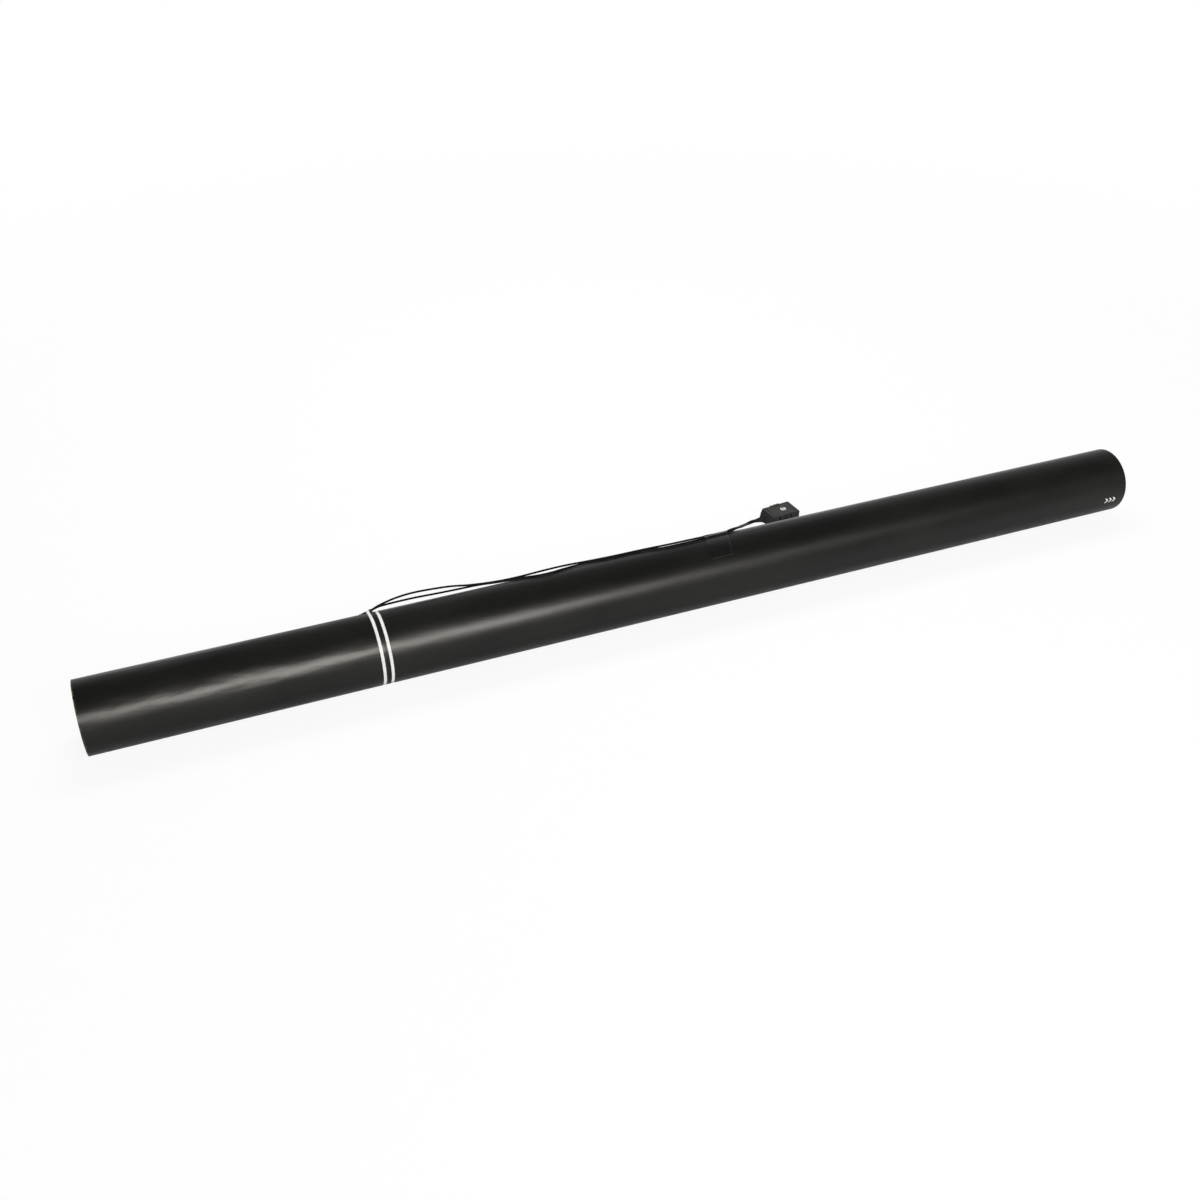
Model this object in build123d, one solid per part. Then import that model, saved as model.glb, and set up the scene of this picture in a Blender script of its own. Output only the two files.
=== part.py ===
from build123d import *
import math
import os

# Electric confetti cannon, lying level. Millimetres.
# X runs along the barrel from the breech face (x = 0) to the muzzle, Z is up and the axis is at z = 0.
# Angles around the barrel are counted from the crest (+Z) towards the back (+Y).

# Barrel and wraps
BARREL_LENGTH = 800.0
OVERALL_D = 50.0
WRAP_T = 0.3
BARREL_WALL = 2.2
SEAM_GAP = 0.6
CUFF_LENGTH = 9.1

# Clearances
FIT = 0.1
RUN = 0.3
HOLE_FIT = 0.05

# Lead exit in the side of the barrel, between the two printed rings
EXIT_SETBACK = 0.9
EXIT_ANGLE = 36.0
EXIT_SLOPE = 25.0
GROMMET_D = 4.4
GROMMET_SETBACK = 2.4
GROMMET_PROUD = 0.9
LEAD_D = 1.4
LEAD_PITCH = 2.0
TENT_LENGTH = 10.1
TENT_RISE = 2.4
TENT_DEPTH = 5.0
TENT_SINK = 0.4

# Breech plug, its nails and the recoil pad
PLUG_RECESS = 3.0
PLUG_LENGTH = 20.0
PLUG_FLOOR = 4.0
PLUG_WALL = 2.4
PLUG_RIM = 3.2
PLUG_POCKET_DEPTH = 1.5
PLUG_HUB_R = 5.0
PLUG_RIB_T = 2.0
PLUG_RIB_COUNT = 6
NAIL_COUNT = 4
NAIL_D = 1.6
NAIL_HEAD_D = 3.2
NAIL_HEAD_T = 0.6
NAIL_BITE = 1.8
PAD_T = 3.0

# Gas cartridge and its spacer
CARTRIDGE_GAP = 0.5
CARTRIDGE_BODY = 139.0
CARTRIDGE_SHOULDER = 8.0
CARTRIDGE_NECK = 16.0
CARTRIDGE_WALL = 2.0
CARTRIDGE_HEEL_R = 6.0
SPACER_LENGTH = 14.0
SPACER_SETBACK = 6.0

# Neck bush, collar and release plug
TRIGGER_ROOM = 7.95
BUSH_WALL = 2.4
BUSH_FLANGE_CLEAR = 0.25
BUSH_FLANGE_T = 2.0
BUSH_TAIL = 14.0
COLLAR_LENGTH = 14.0
COLLAR_WALL = 2.4
EAR_LENGTH = 4.0
EAR_W = 6.0
EAR_T = 3.0
RELEASE_LENGTH = 18.0
RELEASE_SEAT = 10.0
RELEASE_NOSE = 6.0
RELEASE_STEP = 2.0
SEAL_SECTION_D = 1.5
SEAL_SETBACK = 5.0
RELEASE_TRAVEL = 12.7

# Fuse bridle, heater and terminal board
BRIDLE_D = 1.5
BRIDLE_BEND_R = 3.0
BRIDLE_ANCHOR = 2.5
SADDLE_DEPTH = 0.3
HEATER_D = 3.4
HEATER_LENGTH = 9.0
HEATER_SETBACK = 2.4
HEATER_WIRE_D = 0.7
HEATER_WIRE_BEND_R = 1.0
BOARD_T = 1.6
BOARD_W = 17.2
BOARD_H = 5.6
TAG_W = 2.2
TAG_H = 4.6
TAG_T = 0.8
TAG_Y = 6.4
BOARD_SCREW_D = 2.0
BOARD_SCREW_HEAD_D = 3.6
BOARD_SCREW_HEAD_T = 1.2
BOARD_SCREW_BITE = 5.0
BOARD_SCREW_Y = 2.8

# Trigger cage and gas screen
CAGE_RING_LENGTH = 11.0
CAGE_OVERHANG = 1.0
CAGE_PLATE_T = 4.0
CAGE_LEG_W = 6.0
CAGE_LEG_T = 4.0
CAGE_LEG_COUNT = 3
CAGE_LEG_INSET = 0.9
CAGE_PORT_D = 9.0
CAGE_PORT_EDGE = 3.9
SCREEN_T = 1.2
SCREEN_HOLE_D = 4.0
SCREEN_RINGS = 2
SCREEN_RING_PITCH = 7.4

# Charge and muzzle cover
WAD_T = 12.0
SLIP_LENGTH = 55.0
STACK_ANGLE = 24.0
STACK_GAP = 0.4
FRONT_WAD_MIN = 8.0
COVER_RECESS = 3.0
COVER_LENGTH = 10.0
COVER_WALL = 0.8
COVER_FACE_T = 1.2

# Retaining tape over the leads
TAPE_X = 451.4
TAPE_W = 17.2
TAPE_T = 0.2
TAPE_SKEW = 20.0
TAPE_FROM = -34.0
TAPE_TO = 106.0
TAPE_HUMP_HALF = 11.0
TAPE_HUMP_RISE = 2.0
TAPE_LIFT = 0.15

# Connector, lying on the surface behind the barrel
CONNECTOR_X = 531.0
CONNECTOR_Y = 76.03
CONNECTOR_YAW = 5.8
CONNECTOR_LENGTH = 25.4
CONNECTOR_W = 17.1
CONNECTOR_H = 11.0
CONNECTOR_CHAMFER = 0.5
PART_LINE_Z = 6.8
NOSE_LENGTH = 4.2
NOSE_W = 8.6
NOSE_H = 5.6
SHELL_WALL = 2.0
SOCKET_DEPTH = 8.5
SOCKET_W = 12.0
SOCKET_H = 6.4
PIN_WALL_T = 4.0
PIN_D = 2.0
PIN_PITCH = 6.8
PIN_RECESS = 4.6
PIN_TAIL = 3.0
PIN_COLLAR_D = 3.2
PIN_COLLAR_T = 1.0
SLEEVE_D = 4.4
SLEEVE_PROUD = 0.8
SLEEVE_FLANGE_D = 6.6
SLEEVE_FLANGE_T = 1.5
SCREW_D = 2.4
SCREW_LENGTH = 7.0
SCREW_HEAD_D = 5.0
SCREW_HEAD_T = 1.6
SCREW_SLOT_W = 0.8
SCREW_SLOT_DEPTH = 0.7
GRIP_COUNT = 3
GRIP_PITCH = 5.3
GRIP_START = 6.2
GRIP_W = 1.2
GRIP_DEPTH = 0.6

# Radii that follow from the sizes above
OUTER_R = OVERALL_D / 2
CORE_R = OUTER_R - WRAP_T
BORE_R = CORE_R - BARREL_WALL
FIT_R = BORE_R - FIT
RUN_R = BORE_R - RUN
LEAD_R = LEAD_D / 2
FLOOR_Z = -OUTER_R

# Stations along the barrel that follow from the sizes above
PLUG_FRONT = PLUG_RECESS + PLUG_LENGTH
PAD_X = PLUG_RECESS + PLUG_FLOOR
CARTRIDGE_X = PAD_X + PAD_T
CARTRIDGE_R = FIT_R - PLUG_WALL - CARTRIDGE_GAP
SHOULDER_X = CARTRIDGE_X + CARTRIDGE_BODY
NECK_X = SHOULDER_X + CARTRIDGE_SHOULDER
NECK_FRONT = NECK_X + CARTRIDGE_NECK
BUSH_FRONT = NECK_FRONT + BUSH_FLANGE_T
COLLAR_R = FIT_R - TRIGGER_ROOM
NECK_R = COLLAR_R - COLLAR_WALL - HOLE_FIT
NECK_BORE_R = NECK_R - CARTRIDGE_WALL
EAR_R = COLLAR_R - EAR_T / 2
EAR_FRONT = NECK_FRONT + EAR_LENGTH
RELEASE_BACK = NECK_FRONT - RELEASE_SEAT
RELEASE_FRONT = RELEASE_BACK + RELEASE_LENGTH
BUSH_BORE_R = NECK_BORE_R - HOLE_FIT - BUSH_WALL
RELEASE_R = BUSH_BORE_R - FIT
RELEASE_NOSE_R = RELEASE_R - RELEASE_STEP
BRIDLE_X = RELEASE_FRONT + BRIDLE_D / 2 - SADDLE_DEPTH
CAGE_RING_X = NECK_FRONT - COLLAR_LENGTH - CAGE_OVERHANG
CAGE_RING_FRONT = CAGE_RING_X + CAGE_RING_LENGTH
CAGE_PLATE_X = RELEASE_FRONT + RELEASE_TRAVEL + RUN
CAGE_FRONT = CAGE_PLATE_X + CAGE_PLATE_T
EXIT_X = CAGE_PLATE_X - EXIT_SETBACK
CUFF_X = EXIT_X - CUFF_LENGTH + SEAM_GAP
BOARD_FRONT = CAGE_RING_FRONT + BOARD_T
BOARD_FOOT = COLLAR_R + RUN
TAG_FRONT = BOARD_FRONT + TAG_T
HEATER_X = BRIDLE_X - HEATER_SETBACK
HEATER_R = EAR_R + BRIDLE_D / 2 + FIT + HEATER_D / 2
SCREEN_FRONT = CAGE_FRONT + SCREEN_T
WAD_X = SCREEN_FRONT + RUN
PACKS_X = WAD_X + WAD_T + RUN
COVER_FRONT = BARREL_LENGTH - COVER_RECESS
COVER_BACK = COVER_FRONT - COVER_LENGTH
PACK_PITCH = SLIP_LENGTH + STACK_GAP
PACK_COUNT = int((COVER_BACK - RUN - FRONT_WAD_MIN - PACKS_X) // PACK_PITCH)
PACKS_FRONT = PACKS_X + PACK_COUNT * PACK_PITCH

# Where the leads leave the grommet, in the exit's own frame: along the barrel, and out from the axis
GROMMET_X = EXIT_X - GROMMET_SETBACK
GROMMET_R = OUTER_R
GROMMET_LENGTH = (GROMMET_R - BORE_R + GROMMET_PROUD) / math.sin(math.radians(EXIT_SLOPE))
SLOPE_X = math.cos(math.radians(EXIT_SLOPE))
SLOPE_Z = math.sin(math.radians(EXIT_SLOPE))


def rod(x0, x1, radius):
    """Round bar along X."""
    return Pos((x0 + x1) / 2, 0, 0) * Rot(0, 90, 0) * Cylinder(radius, x1 - x0)


def ring(x0, x1, outer, inner):
    """Plain ring around X."""
    return rod(x0, x1, outer) - rod(x0 - 1, x1 + 1, inner)


def lathe(*points):
    """Solid turned around X from (x, radius) points."""
    outline = Polyline(*[(x, 0, r) for x, r in points], close=True)
    return revolve(make_face(outline), Axis.X)


def turned(shape, angle):
    """The shape, turned around X from the crest to an angle towards the back."""
    return Rot(-angle, 0, 0) * shape


def at_exit(shape):
    """The shape, turned from the crest to the angle of the lead exit."""
    return turned(shape, EXIT_ANGLE)


def block(x0, x1, y0, y1, z0, z1):
    """Box from its low and high corners."""
    return Pos((x0 + x1) / 2, (y0 + y1) / 2, (z0 + z1) / 2) * Box(x1 - x0, y1 - y0, z1 - z0)


def stud(x, y, z0, z1, radius):
    """Round bar along Z."""
    return Pos(x, y, (z0 + z1) / 2) * Cylinder(radius, z1 - z0)


def widest_radii(points, share=0.45):
    """The largest fillet radius at each corner of a route."""
    radii = []
    for before, corner, after in zip(points, points[1:], points[2:]):
        first = Vector(*corner) - Vector(*before)
        second = Vector(*after) - Vector(*corner)
        half_turn = math.radians(first.get_angle(second)) / 2
        radii.append(share * min(first.length, second.length) / math.tan(half_turn))
    return radii


def tube_along(points, diameter, radii):
    """Round tube along straight runs joined by tangent arcs."""
    path = FilletPolyline(*points, radius=radii)
    start = Plane(origin=path @ 0, z_dir=path % 0)
    tube = sweep(start * Circle(diameter / 2), path=path)
    return tube, path


# Barrel and wraps

def grommet_axis(distance, y=0.0):
    """Point on the grommet's axis, a distance back from where the leads leave it."""
    return (GROMMET_X - distance * SLOPE_X, y, GROMMET_R - distance * SLOPE_Z)


def slanted(radius, back, front, y=0.0):
    """Round bar along the grommet's axis, between two distances back from its mouth."""
    x0, y0, z0 = grommet_axis((back + front) / 2, y)
    return Pos(x0, y0, z0) * Rot(0, 90 - EXIT_SLOPE, 0) * Cylinder(radius, back - front)


def plug_nail(extra):
    """One nail through the barrel wall into the plug, or the hole for it with some extra room."""
    x = PLUG_RECESS + PLUG_LENGTH / 2
    top = CORE_R if extra else CORE_R - HOLE_FIT
    shank = stud(x, 0, FIT_R - NAIL_BITE - extra, top + extra, NAIL_D / 2 + extra)
    head = stud(x, 0, CORE_R - HOLE_FIT - NAIL_HEAD_T - extra, top + extra, NAIL_HEAD_D / 2 + extra)
    return shank + head


def nail_set(extra=0.0):
    step = 360 / NAIL_COUNT
    return [turned(plug_nail(extra), step * (i + 0.5)) for i in range(NAIL_COUNT)]


def barrel_tube():
    tube = ring(0, BARREL_LENGTH, CORE_R, BORE_R)
    tube -= at_exit(slanted(GROMMET_D / 2 + HOLE_FIT, GROMMET_LENGTH, -GROMMET_LENGTH))
    for hole in nail_set(HOLE_FIT):
        tube -= hole
    return tube


def tent(inset):
    """The cone that lifts the wrap over the leads."""
    foot = TENT_DEPTH - TENT_SINK - inset
    mouth = TENT_DEPTH + TENT_RISE - inset
    cone = Rot(0, 90, 0) * Cone(foot, mouth, TENT_LENGTH)
    return at_exit(Pos(EXIT_X - TENT_LENGTH / 2, 0, OUTER_R - TENT_DEPTH) * cone)


def breech_label():
    return ring(0, CUFF_X - SEAM_GAP, OUTER_R, CORE_R)


def lead_cuff():
    """Short sheet of the wrap with the first printed ring, tented over the leads."""
    sheet = ring(CUFF_X, EXIT_X, OUTER_R, CORE_R)
    raised = tent(0) - rod(0, EXIT_X + 1, CORE_R + WRAP_T / 2)
    raised = raised & rod(CUFF_X, EXIT_X + 1, 2 * OUTER_R)
    return sheet + raised - (tent(WRAP_T) - rod(0, EXIT_X + 1, CORE_R))


def barrel_wrap():
    return ring(EXIT_X + SEAM_GAP, BARREL_LENGTH, OUTER_R, CORE_R)


def exit_grommet():
    sleeve = slanted(GROMMET_D / 2, GROMMET_LENGTH, -GROMMET_LENGTH)
    sleeve = sleeve & rod(0, EXIT_X, CORE_R)
    for side in (-1, 1):
        sleeve -= slanted(LEAD_R + HOLE_FIT, 2 * GROMMET_LENGTH, -GROMMET_LENGTH, side * LEAD_PITCH / 2)
    return at_exit(sleeve)


# Breech and cartridge

def breech_plug():
    plug = rod(PLUG_RECESS, PLUG_FRONT, FIT_R) - rod(PAD_X, PLUG_FRONT + 1, FIT_R - PLUG_WALL)
    pocket = ring(PLUG_RECESS - 1, PLUG_RECESS + PLUG_POCKET_DEPTH, FIT_R - PLUG_RIM, PLUG_HUB_R)
    rib = block(PLUG_RECESS - 1, PLUG_FRONT, -PLUG_RIB_T / 2, PLUG_RIB_T / 2, 0, FIT_R)
    for i in range(PLUG_RIB_COUNT):
        pocket -= turned(rib, i * 360 / PLUG_RIB_COUNT)
    plug -= pocket
    for hole in nail_set(HOLE_FIT):
        plug -= hole
    return plug


def recoil_pad():
    return rod(PAD_X, CARTRIDGE_X, CARTRIDGE_R)


def gas_cartridge():
    w = CARTRIDGE_WALL
    heel = CARTRIDGE_X + CARTRIDGE_HEEL_R
    outside = lathe(
        (CARTRIDGE_X, 0), (CARTRIDGE_X, CARTRIDGE_R), (SHOULDER_X, CARTRIDGE_R),
        (NECK_X, NECK_R), (NECK_FRONT, NECK_R), (NECK_FRONT, 0),
    )
    bottom_edge = outside.edges().filter_by(GeomType.CIRCLE).sort_by(Axis.X)[0]
    outside = fillet(bottom_edge, CARTRIDGE_HEEL_R)
    inside = lathe(
        (CARTRIDGE_X + w, 0), (CARTRIDGE_X + w, CARTRIDGE_R - CARTRIDGE_HEEL_R),
        (heel, CARTRIDGE_R - w), (SHOULDER_X - w / 2, CARTRIDGE_R - w),
        (NECK_X - w / 2, NECK_BORE_R), (NECK_FRONT + 1, NECK_BORE_R), (NECK_FRONT + 1, 0),
    )
    return outside - inside


def cartridge_spacer():
    front = SHOULDER_X - SPACER_SETBACK
    return ring(front - SPACER_LENGTH, front, FIT_R, CARTRIDGE_R + FIT)


def neck_bush():
    tail = rod(NECK_FRONT - BUSH_TAIL, NECK_FRONT, NECK_BORE_R - HOLE_FIT)
    flange = rod(NECK_FRONT, BUSH_FRONT, COLLAR_R - EAR_T - BUSH_FLANGE_CLEAR)
    return tail + flange - rod(NECK_X, BUSH_FRONT + 1, BUSH_BORE_R)


def neck_collar():
    collar = ring(NECK_FRONT - COLLAR_LENGTH, NECK_FRONT, COLLAR_R, NECK_R + HOLE_FIT)
    ear = block(NECK_FRONT, EAR_FRONT, -EAR_W / 2, EAR_W / 2, EAR_R - EAR_T / 2, COLLAR_R)
    ear = ear & rod(NECK_FRONT, EAR_FRONT, COLLAR_R)
    anchor_hole = Pos(0, 0, EAR_R) * rod(EAR_FRONT - BRIDLE_ANCHOR - FIT, EAR_FRONT + 1, BRIDLE_D / 2 + FIT)
    for angle in (0, 180):
        collar += turned(ear, angle)
    for angle in (0, 180):
        collar -= turned(anchor_hole, angle)
    return at_exit(collar)


# Release plug

def release_plug():
    nose_back = RELEASE_FRONT - RELEASE_NOSE
    body = rod(RELEASE_BACK, nose_back, RELEASE_R)
    nose = rod(nose_back, RELEASE_FRONT, RELEASE_NOSE_R)
    groove_x = RELEASE_BACK + SEAL_SETBACK
    half = SEAL_SECTION_D / 2 + FIT
    groove = ring(groove_x - half, groove_x + half, RELEASE_R + 1, RELEASE_R - SEAL_SECTION_D)
    saddle = Pos(BRIDLE_X, 0, 0) * Cylinder(BRIDLE_D / 2 + FIT, 4 * RELEASE_R)
    return at_exit(body + nose - groove - saddle)


def plug_seal():
    major = RELEASE_R + HOLE_FIT - SEAL_SECTION_D / 2
    return Pos(RELEASE_BACK + SEAL_SETBACK, 0, 0) * Rot(0, 90, 0) * Torus(major, SEAL_SECTION_D / 2)


# Electric release, built at the crest and turned to the exit's angle

def fuse_bridle():
    foot = EAR_FRONT - BRIDLE_ANCHOR
    points = [(foot, 0, EAR_R), (BRIDLE_X, 0, EAR_R), (BRIDLE_X, 0, -EAR_R), (foot, 0, -EAR_R)]
    line, _ = tube_along(points, BRIDLE_D, [BRIDLE_BEND_R, BRIDLE_BEND_R])
    return at_exit(line)


def heater_resistor():
    half = HEATER_LENGTH / 2
    body = Pos(HEATER_X, 0, HEATER_R) * Rot(90, 0, 0) * Cylinder(HEATER_D / 2, HEATER_LENGTH)
    waist = Pos(HEATER_X, 0, HEATER_R) * Rot(90, 0, 0) * Cylinder(HEATER_D / 2 + 1, half)
    slim = Pos(HEATER_X, 0, HEATER_R) * Rot(90, 0, 0) * Cylinder(HEATER_D / 2 - FIT, half)
    return at_exit(body - (waist - slim))


def resistor_wires():
    wires = []
    for side in (-1, 1):
        points = [
            (HEATER_X, side * HEATER_LENGTH / 2, HEATER_R),
            (HEATER_X, side * TAG_Y, HEATER_R),
            (TAG_FRONT, side * TAG_Y, HEATER_R),
        ]
        wire, _ = tube_along(points, HEATER_WIRE_D, [HEATER_WIRE_BEND_R])
        wires.append(at_exit(wire))
    return wires


def board_screw(extra):
    """One screw of the terminal board, or the hole for it with some extra room."""
    shank = rod(CAGE_RING_FRONT - BOARD_SCREW_BITE - extra, BOARD_FRONT + extra, BOARD_SCREW_D / 2 + extra)
    head = rod(BOARD_FRONT, BOARD_FRONT + BOARD_SCREW_HEAD_T, BOARD_SCREW_HEAD_D / 2)
    return shank if extra else shank + head


def board_screw_set(extra=0.0):
    z = BOARD_FOOT + BOARD_H / 2
    return [at_exit(Pos(0, side * BOARD_SCREW_Y, z) * board_screw(extra)) for side in (-1, 1)]


def terminal_board():
    half = BOARD_W / 2
    board = at_exit(block(CAGE_RING_FRONT, BOARD_FRONT, -half, half, BOARD_FOOT, BOARD_FOOT + BOARD_H))
    for hole in board_screw_set(HOLE_FIT):
        board -= hole
    return board


def terminals():
    tags = []
    low = BOARD_FOOT + FIT
    for side in (-1, 1):
        y = side * TAG_Y
        tag = block(BOARD_FRONT, TAG_FRONT, y - TAG_W / 2, y + TAG_W / 2, low, low + TAG_H)
        tags.append(at_exit(tag))
    return tags


def inner_lead(side):
    """Lead from its terminal to the mouth of the grommet."""
    y = side * LEAD_PITCH / 2
    tag_z = BOARD_FOOT + TAG_H - LEAD_R
    bend = grommet_axis(GROMMET_LENGTH + 0.6, y)
    reach = bend[0] - TAG_FRONT
    points = [
        (TAG_FRONT, side * TAG_Y, tag_z),
        (TAG_FRONT + 0.24 * reach, side * TAG_Y, tag_z),
        (TAG_FRONT + 0.52 * reach, side * TAG_Y * 0.78, tag_z + 0.2 * (bend[2] - tag_z)),
        (TAG_FRONT + 0.78 * reach, side * TAG_Y * 0.4, tag_z + 0.55 * (bend[2] - tag_z)),
        bend,
        grommet_axis(0, y),
    ]
    lead, _ = tube_along(points, LEAD_D, widest_radii(points))
    return at_exit(lead)


def trigger_cage():
    hub = ring(CAGE_RING_X, CAGE_RING_FRONT, FIT_R, COLLAR_R + FIT)
    plate = rod(CAGE_PLATE_X, CAGE_FRONT, FIT_R)
    leg_top = FIT_R - CAGE_LEG_INSET
    leg = block(CAGE_RING_FRONT - 1, CAGE_PLATE_X + 1, -CAGE_LEG_W / 2, CAGE_LEG_W / 2,
                leg_top - CAGE_LEG_T, leg_top)
    port_r = FIT_R - CAGE_PORT_EDGE - CAGE_PORT_D / 2
    port = Pos(0, 0, port_r) * rod(CAGE_PLATE_X - 1, CAGE_FRONT + 1, CAGE_PORT_D / 2)
    step = 360 / CAGE_LEG_COUNT
    for i in range(2 * CAGE_LEG_COUNT):
        plate -= turned(port, step / 4 + i * step / 2)
    cage = hub + plate
    for i in range(CAGE_LEG_COUNT):
        cage += turned(leg, step / 2 + i * step)
    cage = at_exit(cage)
    for hole in board_screw_set(HOLE_FIT):
        cage -= hole
    return cage


def gas_screen():
    screen = rod(CAGE_FRONT, SCREEN_FRONT, FIT_R)
    hole = rod(CAGE_FRONT - 1, SCREEN_FRONT + 1, SCREEN_HOLE_D / 2)
    screen -= hole
    for i in range(1, SCREEN_RINGS + 1):
        for k in range(6 * i):
            screen -= turned(Pos(0, 0, i * SCREEN_RING_PITCH) * hole, k * 60 / i)
    return screen


# Charge and muzzle cover

def pusher_wad():
    return rod(WAD_X, WAD_X + WAD_T, RUN_R)


def confetti_pack(index):
    """Four stacks of tissue slips that fill the bore: two side by side, one over and one under them."""
    radius = RUN_R - FIT
    x0 = PACKS_X + index * PACK_PITCH
    x1 = x0 + SLIP_LENGTH
    core_h = radius * math.sin(math.radians(STACK_ANGLE))
    slip_w = radius * math.cos(math.radians(STACK_ANGLE)) - STACK_GAP / 2
    outer_h = math.sqrt(radius ** 2 - (slip_w / 2) ** 2)
    return [
        block(x0, x1, STACK_GAP / 2, STACK_GAP / 2 + slip_w, -core_h, core_h),
        block(x0, x1, -STACK_GAP / 2 - slip_w, -STACK_GAP / 2, -core_h, core_h),
        block(x0, x1, -slip_w / 2, slip_w / 2, core_h + STACK_GAP, outer_h),
        block(x0, x1, -slip_w / 2, slip_w / 2, -outer_h, -core_h - STACK_GAP),
    ]


def front_wad():
    return rod(PACKS_FRONT, COVER_BACK - RUN, RUN_R)


def muzzle_cover():
    hollow = rod(COVER_BACK - 1, COVER_FRONT - COVER_FACE_T, RUN_R - COVER_WALL)
    return rod(COVER_BACK, COVER_FRONT, RUN_R) - hollow


# Leads and tape

def polar(x, angle, radius):
    """Point around the barrel: along it, degrees behind the crest, distance from the axis."""
    turn = math.radians(angle)
    return (x, radius * math.sin(turn), radius * math.cos(turn))


def exit_point(distance, side):
    """Point of a lead in line with the grommet, a distance in front of its mouth."""
    x, y, z = grommet_axis(-distance, side * LEAD_PITCH / 2)
    turn = math.radians(EXIT_ANGLE)
    return (x, y * math.cos(turn) + z * math.sin(turn), z * math.cos(turn) - y * math.sin(turn))


def beside(x, angle, lift):
    """Point of a lead beside the barrel: along it, degrees behind the crest, height over the wrap."""
    return polar(x, angle, OUTER_R + lift)


def before_sleeve(side, back=0.0, across=0.0, up=0.0):
    """Point of a lead in the connector's own directions, counted from where it enters the sleeve."""
    turn = math.radians(CONNECTOR_YAW)
    x = -NOSE_LENGTH - SLEEVE_PROUD - back
    y = side * LEAD_PITCH / 2 + across
    return (
        CONNECTOR_X + x * math.cos(turn) - y * math.sin(turn),
        CONNECTOR_Y + x * math.sin(turn) + y * math.cos(turn),
        FLOOR_Z + PART_LINE_Z + up,
    )


def between(first, last, share, sag):
    """Point on the way from one point to another, a little under the straight line."""
    x, y, z = [a + share * (b - a) for a, b in zip(first, last)]
    return (x, y, z - sag)


def hanging(off_tape, side):
    """The stretch from the tape down to the connector, with its bend into the sleeve."""
    low = before_sleeve(side, 17.8 + 0.6 * side, -5.6, 4.9)
    return [
        off_tape, between(off_tape, low, 0.36, 0.5), between(off_tape, low, 0.72, 0.4), low,
        before_sleeve(side, 10.4 + 0.3 * side, -1.4, 1.4), before_sleeve(side, 4.5), before_sleeve(side),
    ]


LEAD_A_ROUTE = [
    exit_point(0, 1), exit_point(5.8, 1),
    beside(203, 38.4, 4.7), beside(212, 38.8, 6.4), beside(223, 39.0, 7.3), beside(236, 39.0, 7.1),
    beside(251, 38.8, 5.8), beside(267, 38.5, 3.8), beside(283, 38.3, 2.0), beside(299, 38.3, 1.5),
    beside(316, 38.6, 2.9), beside(334, 38.6, 3.5), beside(352, 38.4, 2.7), beside(371, 38.0, 1.6),
    beside(392, 37.8, 1.15), beside(413, 38.1, 1.2), beside(432, 38.0, 0.95), beside(449, 38.1, 0.9),
    beside(464.5, 38.3, 1.1), *hanging(beside(475, 58.0, 5.0), 1),
]
LEAD_B_ROUTE = [
    exit_point(0, -1), exit_point(5.8, -1),
    beside(203.5, 33.8, 3.3), beside(213, 34.0, 3.7), beside(225, 34.3, 3.8), beside(240, 34.6, 3.7),
    beside(256, 34.6, 3.2), beside(271, 34.4, 2.2), beside(286, 34.0, 1.3), beside(303, 33.8, 1.15),
    beside(322, 34.1, 1.2), beside(342, 34.0, 1.1), beside(362, 33.7, 1.15), beside(384, 33.6, 1.1),
    beside(408, 33.9, 1.2), beside(430, 33.8, 0.95), beside(449, 33.9, 0.9), beside(467.5, 34.3, 1.1),
    *hanging(beside(478.4, 54.2, 4.0), -1),
]


def lead(name, route):
    """One free lead, checked against its section times its length."""
    radii = widest_radii(route)
    tube, path = tube_along(route, LEAD_D, radii)
    share = tube.volume / (math.pi * LEAD_R ** 2 * path.length)
    print(name, "length", round(path.length, 1), "volume share", round(share, 4))
    print(name, "radii", [round(r, 1) for r in radii])
    return tube, path


def least_gap(path, other, steps=400):
    """Least gap between two leads, on points along them."""
    ours = [path @ (i / steps) for i in range(steps + 1)]
    theirs = [other @ (i / steps) for i in range(steps + 1)]
    return min((a - b).length for a in ours for b in theirs) - LEAD_D


def tape_side(radius, hump):
    """One face of the tape in cross-section: along the wrap, over the leads and along the wrap again."""
    front = EXIT_ANGLE - TAPE_HUMP_HALF
    back = EXIT_ANGLE + TAPE_HUMP_HALF
    middle = (TAPE_FROM + front) / 2
    rear = (back + TAPE_TO) / 2
    return [
        ThreePointArc(polar(0, TAPE_FROM, radius), polar(0, middle, radius), polar(0, front, radius)),
        ThreePointArc(polar(0, front, radius), polar(0, EXIT_ANGLE, hump), polar(0, back, radius)),
        ThreePointArc(polar(0, back, radius), polar(0, rear, radius), polar(0, TAPE_TO, radius)),
    ]


def retaining_tape():
    low = OUTER_R + TAPE_LIFT
    high = low + TAPE_T
    edges = tape_side(low, low + TAPE_HUMP_RISE) + tape_side(high, high + TAPE_HUMP_RISE)
    edges += [Line(polar(0, angle, low), polar(0, angle, high)) for angle in (TAPE_FROM, TAPE_TO)]
    strip = extrude(make_face(edges), amount=2 * OVERALL_D, dir=(1, 0, 0))
    slab = Rot(0, 0, -TAPE_SKEW) * Box(TAPE_W, 4 * OVERALL_D, 4 * OVERALL_D)
    return Pos(TAPE_X - OVERALL_D, 0, 0) * strip & Pos(TAPE_X, 0, 0) * at_exit(slab)


# Connector, built with its cable end at x = 0 and its foot at z = 0, then placed

def placed(shape):
    """The shape, moved from the connector's own frame to where it lies."""
    return Location((CONNECTOR_X, CONNECTOR_Y, FLOOR_Z), (0, 0, CONNECTOR_YAW)) * shape


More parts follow.
